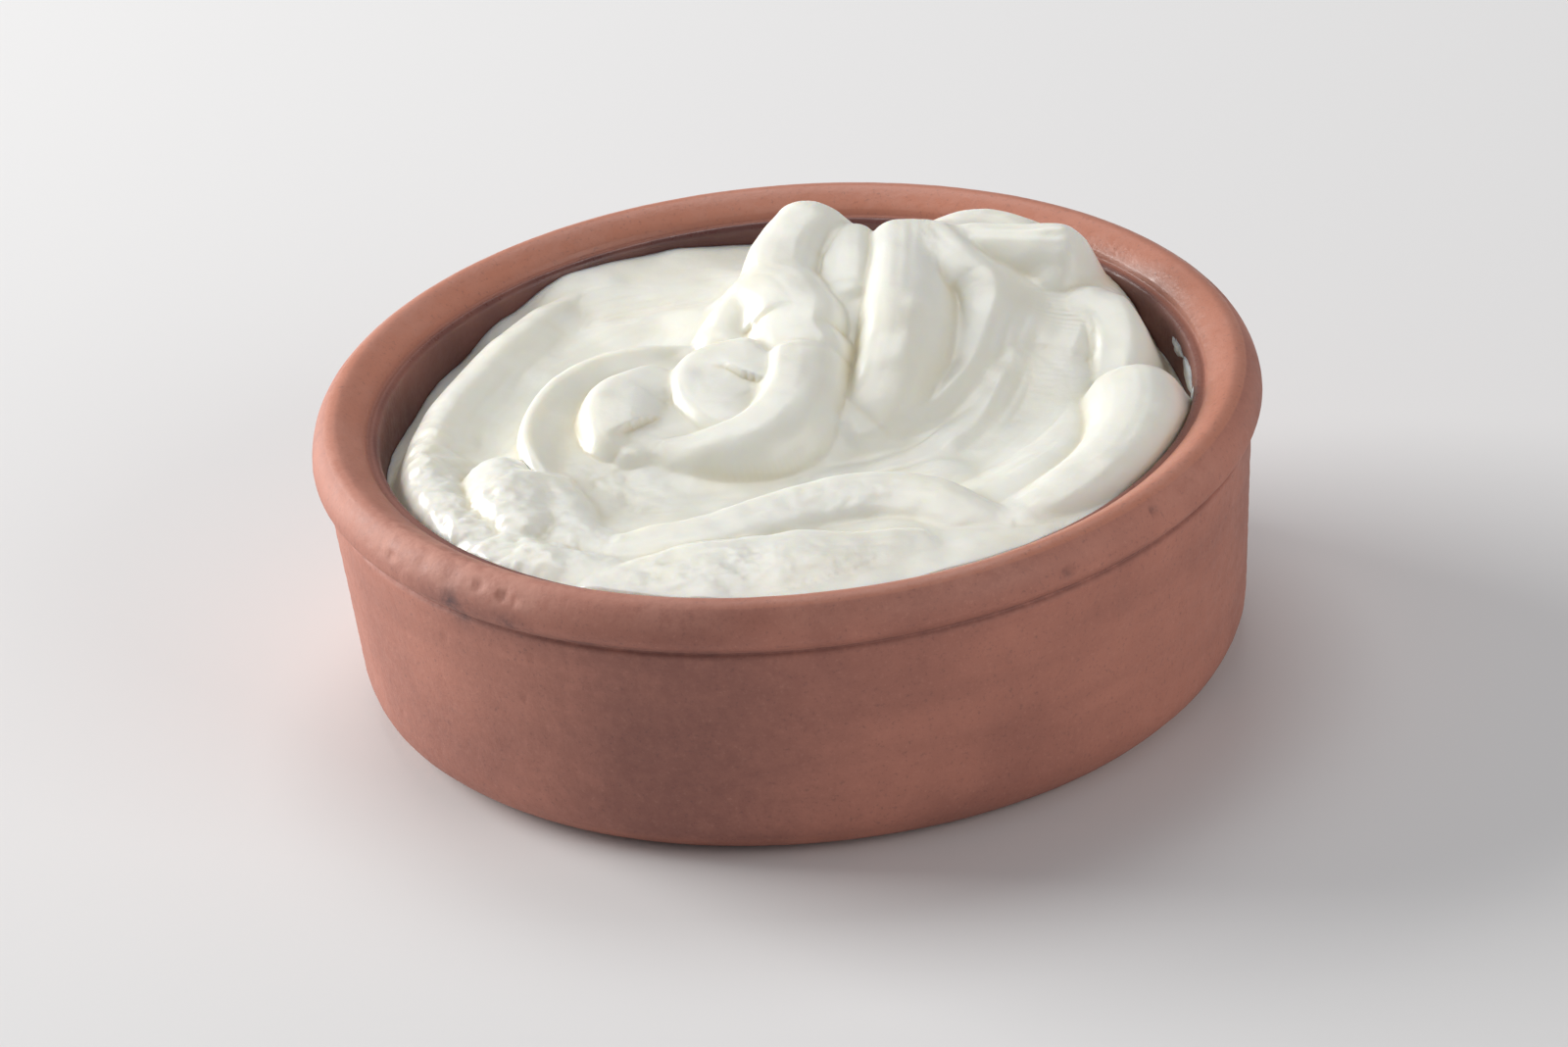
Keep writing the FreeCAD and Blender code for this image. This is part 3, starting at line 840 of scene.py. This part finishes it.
@dataclass
class ClayBowl:
    """The thrown clay bowl, turned from one outline, in millimetres and degrees."""

    outer_radius: float
    height: float
    floor_thickness: float = 5.5
    rim_width: float = 10.2
    wall_lean: float = 5.4
    inner_taper: float = 3.2
    foot_round: float = 8.5
    inner_round: float = 9.0
    collar_depth: float = 8.0
    collar_step: float = 1.75
    lip_half_width: float = 3.85
    lip_round: float = 5.3
    groove_width: float = 0.8
    groove_depth: float = 0.5
    bead_drop: float = 3.0
    bead_width: float = 1.4
    bead_start: float = 1.6
    bead_foot: float = 1.5
    slope_drop: float = 2.3
    slope_bend: float = 1.5
    line_inset: float = 0.03
    line_bevel: tuple[float, float] = (0.12, 0.18)
    bead_rises: Sequence[tuple[float, float]] = (
        (1.45, 0.12), (1.3, -0.10), (1.1, -0.02), (0.8, 0.12), (0.5, 0.02), (0.2, -0.40), (0.06, -0.90),
    )
    foot_rings: Sequence[float] = (0.0, 15.0, 30.0, 42.0, 50.0, 54.0)
    floor_rings: Sequence[float] = (38.0, 25.0, 12.0, 0.0)
    turns: int = 640
    outer_points: int = 37
    collar_points: int = 11
    lip_points: int = 22
    slope_points: int = 14
    inner_points: int = 22
    sway_depth: float = 0.10
    grain_depth: float = 0.018
    turning_pitch: float = 2.7
    turning_depth: float = 0.035
    flaking_depth: float = 0.10
    shrinkage: float = 0.05
    pits: int = 70
    worn_side: float = 222.0
    far_side: float = 95.0
    mark_edge: float = 4.0
    nicks: Sequence[Nick] = (
        Nick(212, 2.7, 0.25, 1.0), Nick(218, 1.4, 0.14, 1.3), Nick(223, 1.3, 0.16, 1.9),
        Nick(227.5, 1.5, 0.22, 1.2), Nick(231.5, 1.9, 0.38, 1.1), Nick(233, 2.3, 0.25, 1.0),
        Nick(303, 4.4, 0.5, 1.2), Nick(318, 1.9, 0.4, 1.0),
    )
    # the broad mark at 225 degrees is painted shade on the collar; the others are scuffs
    scuffs_and_shade: Sequence[ScuffAndShade] = (
        ScuffAndShade(223.5, 6.1, 1.6, 3.2, 0.75), ScuffAndShade(232.5, 5.7, 2.2, 1.6, 0.45),
        ScuffAndShade(225, 5.7, 14.0, 2.6, 0.42), ScuffAndShade(241, 7.1, 8.0, 0.9, 0.35),
        ScuffAndShade(303, 4.4, 0.8, 0.9, 0.7), ScuffAndShade(318, 1.9, 0.6, 0.6, 0.6),
    )

    @property
    def inner_radius(self) -> float:
        """Radius of the inner wall at its top."""
        return self.outer_radius - self.rim_width

    @property
    def wall_top(self) -> float:
        """Height where the inner wall meets the bead."""
        return self.height - self.bead_drop - self.bead_foot

    @property
    def line_height(self) -> float:
        """Height of the scored line under the collar."""
        return self.height - self.collar_depth

    def wall_radius(self, height: np.ndarray) -> np.ndarray:
        """Radius of the inner wall at a height.

        Args:
            height: heights over the foot.

        Returns:
            Radii of the wall.
        """
        share = (height - self.floor_thickness) / (self.wall_top - self.floor_thickness)
        return self.inner_radius - self.inner_taper * (1.0 - np.clip(share, 0.0, 1.0))

    @staticmethod
    def corner(
        radius: float, height: float, rounding: float, lean: float, steps: int
    ) -> list[tuple[float, float]]:
        """Round between a level line and a wall that leans outwards.

        Args:
            radius: where the level line and the wall line would meet.
            height: height of the level line.
            rounding: radius of the round.
            lean: angle of the wall from upright.
            steps: number of short runs.

        Returns:
            Points from the level line to the wall.
        """
        setback = rounding / math.tan((math.pi / 2 + lean) / 2)
        angles = np.linspace(-math.pi / 2, -lean, steps + 1)
        return [
            (radius - setback + rounding * math.cos(a), height + rounding + rounding * math.sin(a))
            for a in angles
        ]

    @staticmethod
    def straight(
        start: tuple[float, float], end: tuple[float, float], count: int
    ) -> list[tuple[float, float]]:
        """Even points on a straight stretch of the outline.

        Args:
            start: radius and height of the first point.
            end: radius and height of the last point.
            count: number of points, both ends included.

        Returns:
            The points.
        """
        return [
            (start[0] + (end[0] - start[0]) * share, start[1] + (end[1] - start[1]) * share)
            for share in np.linspace(0, 1, count)
        ]

    def outline(self) -> np.ndarray:
        """Turned outline from the centre of the foot to the centre of the floor.

        Returns:
            Rows of radius and height.
        """
        widest = self.height - self.lip_round
        lean = math.atan2(self.wall_lean - self.collar_step, self.line_height)
        points = [(radius, 0.0) for radius in self.foot_rings]
        points += self.corner(self.outer_radius - self.wall_lean, 0.0, self.foot_round, lean, 10)
        wall_end = self.outer_radius - self.collar_step - self.line_inset
        groove_foot = self.line_height - self.groove_width / 2
        points += self.straight(points[-1], (wall_end, groove_foot), self.outer_points)[1:]
        deep = self.outer_radius - self.collar_step - self.groove_depth
        out, rise = self.line_bevel
        points.append((deep + out, self.line_height - rise))
        points.append((deep, self.line_height))
        points.append((deep + out, self.line_height + rise))
        groove_top = self.line_height + self.groove_width / 2
        for share in np.linspace(0, 1, self.collar_points)[:-1]:
            radius = self.outer_radius - self.collar_step * (1 - math.sin(share * math.pi / 2))
            points.append((radius, groove_top + (widest - groove_top) * share))
        for angle in np.linspace(0, math.pi / 2, self.lip_points):
            radius = self.outer_radius - self.lip_half_width * (1 - math.cos(angle))
            points.append((radius, widest + self.lip_round * math.sin(angle)))
        crest_radius = self.outer_radius - self.lip_half_width
        run = self.rim_width - self.lip_half_width - self.bead_width * self.bead_start
        for share in np.linspace(0, 1, self.slope_points)[1:]:
            fall = self.slope_drop * share**self.slope_bend
            points.append((crest_radius - run * share, self.height - fall))
        for out, rise in self.bead_rises:
            points.append((self.inner_radius + self.bead_width * out, self.height - self.bead_drop + rise))
        lean = math.atan2(self.inner_taper, self.wall_top - self.floor_thickness)
        meeting = self.inner_radius - self.inner_taper
        floor_round = self.corner(meeting, self.floor_thickness, self.inner_round, lean, 8)[::-1]
        wall_start = (self.inner_radius, self.wall_top)
        points += self.straight(wall_start, floor_round[0], self.inner_points)[:-1]
        points += floor_round
        points += [(radius, self.floor_thickness) for radius in self.floor_rings]
        return np.array(points)

    def build(self) -> bpy.types.Object:
        """Turns the outline, roughens it and cuts the nicks.

        Returns:
            The bowl.
        """
        outline = self.outline()
        tangent = np.gradient(outline, axis=0)
        tangent /= np.maximum(np.linalg.norm(tangent, axis=1, keepdims=True), 1e-9)
        rings = len(outline) - 2
        angle = np.arange(self.turns) / self.turns * 2 * math.pi
        turn = np.tile(angle, rings)
        radius, level = (np.repeat(outline[1:-1, axis], self.turns) for axis in (0, 1))
        along_r, along_z = (np.repeat(tangent[1:-1, axis], self.turns) for axis in (0, 1))
        place = np.stack([radius * np.cos(turn), radius * np.sin(turn), level], axis=-1)
        skin = Skin(place, turn, level, radius)
        shift = self.roughness(skin)
        swept_r = radius + shift * along_z
        swept_z = level - shift * along_r
        swept_z = np.where(level <= 0.001, 0.0, np.maximum(swept_z, 0.0))
        points = np.stack([swept_r * np.cos(turn), swept_r * np.sin(turn), swept_z], axis=-1)
        points = np.vstack([points, [[0, 0, 0.0], [0, 0, self.floor_thickness]]])
        rows = np.arange(rings * self.turns).reshape(rings, self.turns)
        after = np.roll(rows, -1, axis=1)
        quads = np.stack([rows[:-1], after[:-1], after[1:], rows[1:]], axis=-1).reshape(-1, 4)
        foot, floor = len(points) - 2, len(points) - 1
        under = np.stack([np.full(self.turns, foot), after[0], rows[0], rows[0]], axis=-1)
        inside = np.stack([np.full(self.turns, floor), rows[-1], after[-1], after[-1]], axis=-1)
        faces = np.vstack([quads, under, inside])
        piece = mesh_object("clay_bowl", points, faces)
        self.dress(piece, skin)
        return piece

    def roughness(self, skin: Skin) -> np.ndarray:
        """Hand-made unevenness of the clay, outwards from the turned outline.

        Args:
            skin: points of the smooth turned surface.

        Returns:
            How far each point stands out.
        """
        outside = (skin.radius > self.inner_radius + 1.0) & (skin.level > 0.5)
        lip = smooth_step((skin.level - self.line_height) / 3.0) * outside
        shift = self.sway_depth * value_noise(skin.place, 24.0, 5)
        shift += self.grain_depth * layered_noise(skin.place, 2.6, 9)
        # faint turning lines below the collar
        wave = skin.level / self.turning_pitch + 0.9 * value_noise(skin.place * [0.25, 0.25, 1.0], 9.0, 21)
        shift += self.turning_depth * np.sin(2 * math.pi * wave) * (1.0 - lip)
        # flaked clay on the worn side of the lip
        worn = bell(skin.round_from(self.worn_side), 16.0) * lip
        shift -= self.flaking_depth * worn * np.maximum(layered_noise(skin.place, 1.3, 33), 0.0)
        for nick in self.nicks:
            shift -= self.bite(nick, skin.place)
        draw = np.random.RandomState(17)
        for _ in range(self.pits):
            azimuth, height = draw.uniform(0, 360), draw.uniform(8, self.height - 1.5)
            pit = Nick(azimuth, self.height - height, draw.uniform(0.08, 0.22), draw.uniform(0.5, 0.9))
            shift -= self.bite(pit, skin.place)
        return shift - self.shrinkage

    def bite(self, nick: Nick, place: np.ndarray) -> np.ndarray:
        """Depth that one nick takes out of the clay.

        Args:
            nick: the chip or pit.
            place: rows of x, y, z.

        Returns:
            Depth at each point.
        """
        height = self.height - nick.drop
        up_lip = max(0.0, self.lip_round - nick.drop) / self.lip_round
        reach = self.outer_radius - self.lip_half_width * (1 - math.sqrt(1 - up_lip * up_lip))
        if up_lip == 0.0:
            share = min(1.0, height / self.line_height)
            reach = self.outer_radius - self.wall_lean + (self.wall_lean - self.collar_step) * share
        angle = math.radians(nick.azimuth)
        centre = np.array([reach * math.cos(angle), reach * math.sin(angle), height])
        away = np.linalg.norm(place - centre, axis=1) / nick.width
        return nick.bite * np.clip(1.15 - away**2, 0.0, 1.0)

    def dress(self, piece: bpy.types.Object, skin: Skin) -> None:
        """Marks damp clay and painted shade on the inner wall, rubbed, polished and scuffed clay, painted
        shade on the collar and the front wall, and gives the finish.

        Args:
            piece: the bowl.
            skin: points of the smooth turned surface.
        """
        drop = self.height - skin.level
        inward = self.inner_radius - skin.radius
        patchy = value_noise(skin.place, 7.0, 51)
        # damp inner wall, darkened by damp and by painted shade; the painted shade is darkest on the far side
        # and fades out over the bead
        inside = smooth_step((inward + 1.9) / 1.4) * (skin.level > self.floor_thickness - 0.1)
        damp_and_shade = inside * (0.76 + 0.16 * patchy + 0.24 * bell(skin.round_from(self.far_side), 40.0))
        # the same damp colour and painted shade reaches up over the bead
        damp_and_shade += 0.25 * smooth_step((inward + 3.6) / 2.0) * (drop < 5.3) * (1 - inside)
        # dusty lip, most on its worn side
        lip = smooth_step((4.8 - drop) / 2.5) * (inward < -2.5)
        worn = 0.8 * bell(skin.round_from(self.worn_side), 22.0)
        rubbed = lip * np.clip(0.25 + worn + 0.3 * patchy, 0, 1)
        # rim polished by hands, except on its worn side
        polish = smooth_step((5.3 - drop) / 3.0) * (skin.radius < self.outer_radius - 2.0)
        polish = polish * (1.0 - bell(skin.round_from(self.worn_side + 3.0), 45.0))
        measures = {"damp_and_shade": damp_and_shade, "rubbed": rubbed, "polish": polish, "scuff_and_shade": self.scuffing_and_shade(skin)}
        middles = [0.0, 0.0]
        for name, values in measures.items():
            keep_measure(piece, name, np.concatenate([values, middles]))
        piece.data.materials.append(ClayFinish().material())
        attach(piece, "root")
        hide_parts("bowl")

    def scuffing_and_shade(self, skin: Skin) -> np.ndarray:
        """Dark marks on the lip, the collar and in the scored line: rubbed scuffs, and painted shade on the
        collar and the front wall.

        Args:
            skin: points of the smooth turned surface.

        Returns:
            Strength of the marks at each point.
        """
        drop = self.height - skin.level
        marks = np.zeros(len(skin.place))
        for scuff_and_shade in self.scuffs_and_shade:
            marks += scuff_and_shade.strength * np.exp(
                -((skin.round_from(scuff_and_shade.azimuth) * 1.2 / scuff_and_shade.wide) ** 2)
                - ((drop - scuff_and_shade.drop) / scuff_and_shade.tall) ** 2
            )
        # painted shade on the front wall below the collar, and darkening in the scored line
        marks += 0.30 * bell(skin.round_from(252.0), 24.0) * (drop > 6.8)
        line = bell(skin.level - self.line_height, 0.45)
        marks += line * (0.12 + 0.45 * bell(skin.round_from(308.0), 36.0))
        return marks * (skin.radius > self.inner_radius + self.mark_edge)


@dataclass
class Yogurt:
    """The yogurt that fills the bowl and stands in folds above it, in millimetres."""

    bowl: ClayBowl
    surface: SwirlSurface = field(default_factory=SwirlSurface)
    cells: int = 290
    gap: float = 0.04
    skirt_rows: int = 8
    skirt_foot: float = 8.0
    floor_round: Sequence[tuple[float, float]] = ((-1.6, 3.6), (-4.4, 1.1), (-8.2, 0.0), (-30.0, 0.0))
    fine_cell: float = 3.0
    broad_cell: float = 7.0
    streak_cell: float = 0.9
    streak_stretch: float = 0.08
    broad_relief: float = 0.30
    plain_relief: float = 0.03
    lump_relief: float = 0.52
    streak_relief: float = 0.06
    hold_start: float = 0.93
    crease_shade_spans: Sequence[int] = (2, 5, 10)
    crease_shade_slope: float = 0.24
    lumpy_patches: Sequence[Mound] = (
        Mound(-47, -27, 10, 17, 1.0), Mound(-38, -38, 10, 8, 0.9), Mound(-14, -50, 16, 6, 0.55),
        Mound(-25, -18, 8, 8, 0.35), Mound(4, -33, 14, 3.5, 0.30), Mound(-52, -8, 6, 14, 0.9),
    )

    def disc(self) -> tuple[np.ndarray, np.ndarray]:
        """Even grid of places over the round of the bowl.

        Returns:
            Grids of x and y, whose outer edge lies on the wall's top radius.
        """
        line = np.linspace(-1.0, 1.0, self.cells + 1)
        u, v = np.meshgrid(line, line)
        wide = np.abs(u) >= np.abs(v)
        radius = np.where(wide, u, v)
        with np.errstate(divide="ignore", invalid="ignore"):
            flat = np.where(wide, v / u, 0.0)
            steep = np.where(wide, 0.0, u / v)
        angle = np.where(wide, math.pi / 4 * flat, math.pi / 2 - math.pi / 4 * steep)
        angle = np.nan_to_num(angle)
        reach = self.bowl.inner_radius
        return radius * np.cos(angle) * reach, radius * np.sin(angle) * reach

    def top(self, x: np.ndarray, y: np.ndarray) -> tuple[np.ndarray, np.ndarray, np.ndarray, np.ndarray]:
        """Swirled top with its fine relief.

        Args:
            x: grid of places across.
            y: grid of places along.

        Returns:
            Moved x and y, heights over the foot, and how deep in a crease each place lies, which sets the
            painted crease shade.
        """
        height, lean_x, lean_y, grain = self.surface.evaluate(x, y)
        flat = np.stack([x.ravel(), y.ravel(), height.ravel()], axis=-1)
        rough = self.lumpy(x, y)
        fine = layered_noise(flat, self.fine_cell, 71, 3).reshape(x.shape)
        broad = layered_noise(flat, self.broad_cell, 81, 2).reshape(x.shape)
        long_x, long_y = x * self.streak_stretch, y * self.streak_stretch
        drawn_out = np.stack([grain.ravel(), long_x.ravel(), long_y.ravel()], axis=-1)
        streaks = value_noise(drawn_out, self.streak_cell, 91).reshape(x.shape)
        height = height + self.broad_relief * broad + (self.plain_relief + self.lump_relief * rough) * fine
        height = height + self.streak_relief * streaks * (1.0 - rough)
        reach = np.hypot(x, y) / self.bowl.inner_radius
        free = 1.0 - smooth_step((reach - self.hold_start) / (1.0 - self.hold_start))
        moved_x, moved_y = x + lean_x * free, y + lean_y * free
        # depth in the creases, which sets the painted crease shade
        crease_shade = np.zeros(x.shape)
        for span in self.crease_shade_spans:
            depth = (self.spread(height, span) - height) / (self.crease_shade_slope * span)
            crease_shade += np.clip(depth, 0.0, 1.0) / len(self.crease_shade_spans)
        return moved_x, moved_y, height + self.surface.fill_level, crease_shade

    def lumpy(self, x: np.ndarray, y: np.ndarray) -> np.ndarray:
        """Share of curdled roughness, strongest at the front left.

        Args:
            x: grid of places across.
            y: grid of places along.

        Returns:
            Values from 0 to 1.
        """
        return np.maximum.reduce([patch.over(x, y) for patch in self.lumpy_patches])

    @staticmethod
    def spread(height: np.ndarray, span: int) -> np.ndarray:
        """Softens a grid of heights.

        Args:
            height: grid of heights.
            span: how many cells the softening reaches.

        Returns:
            The softened grid.
        """
        result = height
        for axis in (0, 1):
            before = np.repeat(result.take([0], axis), span, axis)
            after = np.repeat(result.take([-1], axis), span, axis)
            padded = np.concatenate([before, result, after], axis)
            total = np.cumsum(padded, axis)
            total = np.concatenate([np.zeros_like(total.take([0], axis)), total], axis)
            width = 2 * span + 1
            size = result.shape[axis]
            high = total.take(range(width, width + size), axis)
            low = total.take(range(0, size), axis)
            result = (high - low) / width
        return result

    def build(self) -> bpy.types.Object:
        """Makes the closed body of yogurt.

        Returns:
            The yogurt.
        """
        x, y = self.disc()
        x, y, z, crease_shade = self.top(x, y)
        reach = np.hypot(x, y)
        limit = self.bowl.wall_radius(z) - self.gap
        pull = np.minimum(1.0, limit / np.maximum(reach, 1e-6))
        x, y = x * pull, y * pull
        side = self.cells + 1
        index = np.arange(side * side).reshape(side, side)
        corners = [index[:-1, :-1], index[:-1, 1:], index[1:, 1:], index[1:, :-1]]
        quads = np.stack(corners, axis=-1).reshape(-1, 4)
        points = np.stack([x.ravel(), y.ravel(), z.ravel()], axis=-1)
        edge = np.concatenate([index[0, :-1], index[:-1, -1], index[-1, :0:-1], index[:0:-1, 0]])
        rows = [points]
        faces = [quads]
        loop = edge
        bottom = self.bowl.floor_thickness + self.gap
        turn = np.arctan2(points[edge, 1], points[edge, 0])
        for row in range(1, self.skirt_rows + 1):
            fall = bottom + self.skirt_foot - points[edge, 2]
            level = points[edge, 2] + fall * row / self.skirt_rows
            radius = self.bowl.wall_radius(level) - self.gap
            ring = np.stack([radius * np.cos(turn), radius * np.sin(turn), level], axis=-1)
            loop = self.join(rows, faces, loop, ring)
        for inset, lift in self.floor_round:
            reach = self.bowl.wall_radius(np.array(bottom)) + inset - self.gap
            level = np.full(len(edge), bottom + lift)
            ring = np.stack([reach * np.cos(turn), reach * np.sin(turn), level], axis=-1)
            loop = self.join(rows, faces, loop, ring)
        count = sum(len(part) for part in rows)
        rows.append(np.array([[0.0, 0.0, bottom]]))
        centre = np.full(len(loop), count)
        faces.append(np.stack([np.roll(loop, -1), loop, centre, centre], axis=-1))
        piece = mesh_object("yogurt_swirl", np.vstack(rows), np.vstack(faces))
        # painted shade in the creases, none on the skirt and floor
        values = np.concatenate([crease_shade.ravel(), np.zeros(count + 1 - side * side)])
        keep_measure(piece, "crease_shade", values)
        piece.data.materials.append(YogurtFinish().material())
        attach(piece, "root")
        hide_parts("yogurt")
        return piece

    @staticmethod
    def join(
        rows: list[np.ndarray], faces: list[np.ndarray], loop: np.ndarray, ring: np.ndarray
    ) -> np.ndarray:
        """Adds a ring of points below a loop and the faces between them.

        Args:
            rows: blocks of points so far, added to.
            faces: blocks of faces so far, added to.
            loop: point numbers of the loop above.
            ring: the new points.

        Returns:
            Point numbers of the new ring.
        """
        first = sum(len(part) for part in rows)
        rows.append(ring)
        fresh = np.arange(first, first + len(ring))
        faces.append(np.stack([np.roll(loop, -1), loop, fresh, np.roll(fresh, -1)], axis=-1))
        return fresh


@dataclass
class Smear:
    """A thin film of yogurt wiped on the inner wall."""

    name: str
    bowl: ClayBowl
    azimuth: float
    drop: float
    wide: float
    tall: float
    seed: int
    thick: float = 0.35
    sunk: float = 0.12
    ragged: float = 0.35
    margin: float = 1.4
    wetness: float = 0.15
    least: float = 0.02
    rows: int = 34

    def build(self) -> bpy.types.Object:
        """Makes the film, thickest in its middle and gone at its ragged edge.

        Returns:
            The smear.
        """
        line = np.linspace(-self.margin, self.margin, self.rows)
        across, up = np.meshgrid(line, line)
        flat = np.stack([across.ravel(), up.ravel(), np.zeros(across.size)], axis=-1)
        ragged = self.ragged * value_noise(flat, 0.45, self.seed).reshape(across.shape)
        body = np.sqrt(np.clip(1.0 - np.hypot(across, up) + ragged, 0.0, 1.0))
        level = self.bowl.height - self.drop + up * self.tall
        angle = math.radians(self.azimuth) + across * self.wide / self.bowl.inner_radius
        back = self.bowl.wall_radius(level) + self.sunk
        sheets = [back - (self.thick + self.sunk) * body, back]
        points = np.concatenate([
            np.stack([radius * np.cos(angle), radius * np.sin(angle), level], axis=-1).reshape(-1, 3)
            for radius in sheets
        ])
        front = np.arange(self.rows**2).reshape(self.rows, self.rows)
        behind = np.where(body > self.least, front + self.rows**2, front)
        faces = []
        for index, order in ((front, (0, 1, 2, 3)), (behind, (3, 2, 1, 0))):
            corners = (index[:-1, :-1], index[1:, :-1], index[1:, 1:], index[:-1, 1:])
            quads = np.stack([corners[corner] for corner in order], axis=-1).reshape(-1, 4)
            faces.append(quads[(body.ravel()[quads % self.rows**2] > self.least).any(axis=1)])
        used, faces = np.unique(np.concatenate(faces), return_inverse=True)
        piece = mesh_object(self.name, points[used], faces.reshape(-1, 4))
        keep_measure(piece, "crease_shade", np.full(len(used), self.wetness))
        piece.data.materials.append(bpy.data.materials["strained_yogurt"])
        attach(piece, "root")
        return piece


@dataclass(frozen=True)
class Lamp:
    """A soft square light that faces the bowl, in metres, degrees and watts."""

    name: str
    azimuth: float
    elevation: float
    distance: float
    size: float
    power: float
    colour: tuple[float, float, float]
    aim_height: float = 0.03

    def hang(self) -> bpy.types.Object:
        """Hangs the light.

        Returns:
            The light.
        """
        data = bpy.data.lights.new(self.name, "AREA")
        data.shape = "SQUARE"
        data.size = self.size
        data.energy = self.power
        data.color = self.colour
        light = bpy.data.objects.new(self.name, data)
        bpy.context.scene.collection.objects.link(light)
        turn, rise = math.radians(self.azimuth), math.radians(self.elevation)
        level = math.cos(rise)
        direction = Vector((level * math.cos(turn), level * math.sin(turn), math.sin(rise)))
        light.location = direction * self.distance + Vector((0.0, 0.0, self.aim_height))
        light.rotation_euler = direction.to_track_quat("Z", "Y").to_euler()
        return light


@dataclass
class Studio:
    """Pale floor and soft light, in metres."""

    half_floor: float = 4.0
    sky: float = 0.24
    sky_colour: tuple[float, float, float] = (0.93, 0.95, 1.0)
    lamps: Sequence[Lamp] = (
        Lamp("window_light", 152.0, 19.0, 1.5, 0.9, 31.0, (1.0, 0.985, 0.965)),
        Lamp("top_light", 95.0, 62.0, 1.5, 0.8, 5.5, (1.0, 1.0, 1.0)),
        Lamp("side_fill", -38.0, 24.0, 1.6, 1.0, 8.0, (1.0, 0.95, 0.92)),
    )

    def floor(self) -> bpy.types.Object:
        """Lays the pale floor.

        Returns:
            The floor.
        """
        signs = np.array([[-1, -1, 0], [1, -1, 0], [1, 1, 0], [-1, 1, 0]], float)
        corners = signs * self.half_floor / MM
        piece = mesh_object("studio_floor", corners, np.array([[0, 1, 2, 3]]), False)
        piece.data.materials.append(FloorFinish().material())
        return piece

    def light(self) -> None:
        """Hangs the lights and sets the sky."""
        for lamp in self.lamps:
            lamp.hang()
        world = bpy.data.worlds.new("studio_sky")
        world.use_nodes = True
        sky = world.node_tree.nodes["Background"]
        sky.inputs["Color"].default_value = (*self.sky_colour, 1.0)
        sky.inputs["Strength"].default_value = self.sky
        bpy.context.scene.world = world
        bpy.context.scene.view_settings.view_transform = "Standard"


@dataclass
class ViewCamera:
    """Camera that looks down on the bowl from the front.

    Angles are in degrees, lens and sensor in millimetres, and the rest in metres.
    """

    elevation: float = 27.38
    roll: float = -5.4
    distance: float = 2.441
    lens: float = 380.0
    sensor: float = 36.0
    clip_end: float = 50.0
    aim: tuple[float, float, float] = (-0.00184, 0.00464, 0.01945)

    def place(self) -> bpy.types.Object:
        """Sets up the camera.

        Returns:
            The camera.
        """
        data = bpy.data.cameras.new("bowl_camera")
        data.lens = self.lens
        data.sensor_width = self.sensor
        data.clip_end = self.clip_end
        camera = bpy.data.objects.new("bowl_camera", data)
        bpy.context.scene.collection.objects.link(camera)
        rise, roll = math.radians(self.elevation), math.radians(self.roll)
        back = Vector((0.0, -math.cos(rise), math.sin(rise)))
        up = Vector((0.0, math.sin(rise), math.cos(rise)))
        across = Vector((1.0, 0.0, 0.0))
        right = across * math.cos(roll) + up * math.sin(roll)
        top = across * -math.sin(roll) + up * math.cos(roll)
        matrix = Matrix((right, top, back)).transposed().to_4x4()
        matrix.translation = Vector(self.aim) + back * self.distance
        camera.matrix_world = matrix
        bpy.context.scene.camera = camera
        return camera


def main() -> None:
    """Builds the bowl, the yogurt and the studio, and reports each piece."""
    logging.basicConfig(level=logging.INFO, format="%(name)s: %(message)s")
    _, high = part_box("bowl")
    bowl = ClayBowl(outer_radius=round(high[0] / MM, 1), height=round(high[2] / MM, 1))
    pieces = [bowl.build(), Yogurt(bowl).build()]
    for smear in (
        Smear("smear_right_low", bowl, azimuth=5.0, drop=6.9, wide=4.6, tall=2.1, seed=3),
        Smear("smear_right_high", bowl, azimuth=12.0, drop=6.1, wide=2.6, tall=1.2, seed=8),
        Smear("smear_right_front", bowl, azimuth=-4.5, drop=5.7, wide=1.8, tall=1.5, seed=14),
    ):
        pieces.append(smear.build())
    for piece in pieces:
        LOG.info("%s: %d faces", piece.name, len(piece.data.polygons))
    studio = Studio()
    studio.floor()
    studio.light()
    ViewCamera().place()


if __name__ == "__main__":
    main()
